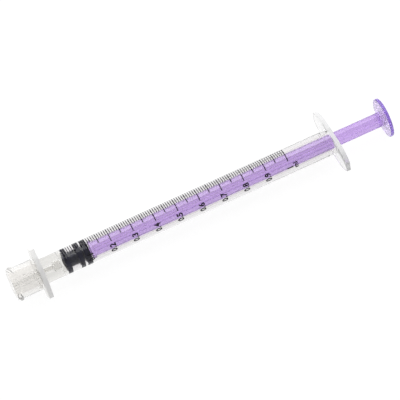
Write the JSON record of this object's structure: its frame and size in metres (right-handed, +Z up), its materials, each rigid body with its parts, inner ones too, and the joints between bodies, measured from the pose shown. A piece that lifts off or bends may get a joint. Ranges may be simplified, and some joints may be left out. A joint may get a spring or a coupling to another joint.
{
  "type": "oral syringe",
  "caption": "Clear oral dosing syringe with a low-dose tip connector, purple plunger rod and black ribbed stopper.",
  "frame": {"origin": "on the surface the syringe lies on, under the middle of its length, with the syringe's axis 4.86 mm above it", "axes": "+X along the syringe from the tip connector to the thumb rest, +Z up from the surface it lies on, the graduated side on top"},
  "size_m": [0.0976, 0.018, 0.0097],
  "materials": {
    "clear_plastic": "clear natural polypropylene, slightly hazy",
    "black_rubber": "satin, silicone oiled",
    "purple_plastic": "translucent pale purple polypropylene"
  },
  "bodies": {
    "barrel": {"barrel": "clear_plastic"},
    "stopper": {"stopper": "black_rubber"},
    "plunger_rod": {"plunger_rod": "purple_plastic"}
  },
  "joints": [
    {"name": "plunger_slide", "type": "slide", "parent": "barrel", "child": "stopper", "axis": [1, 0, 0], "range_m": [-0.0004, 0.06]},
    {"name": "rod_spin", "type": "hinge", "parent": "stopper", "child": "plunger_rod", "pos_m": [0, 0, 0.00486], "axis": [1, 0, 0], "continuous": true}
  ]
}
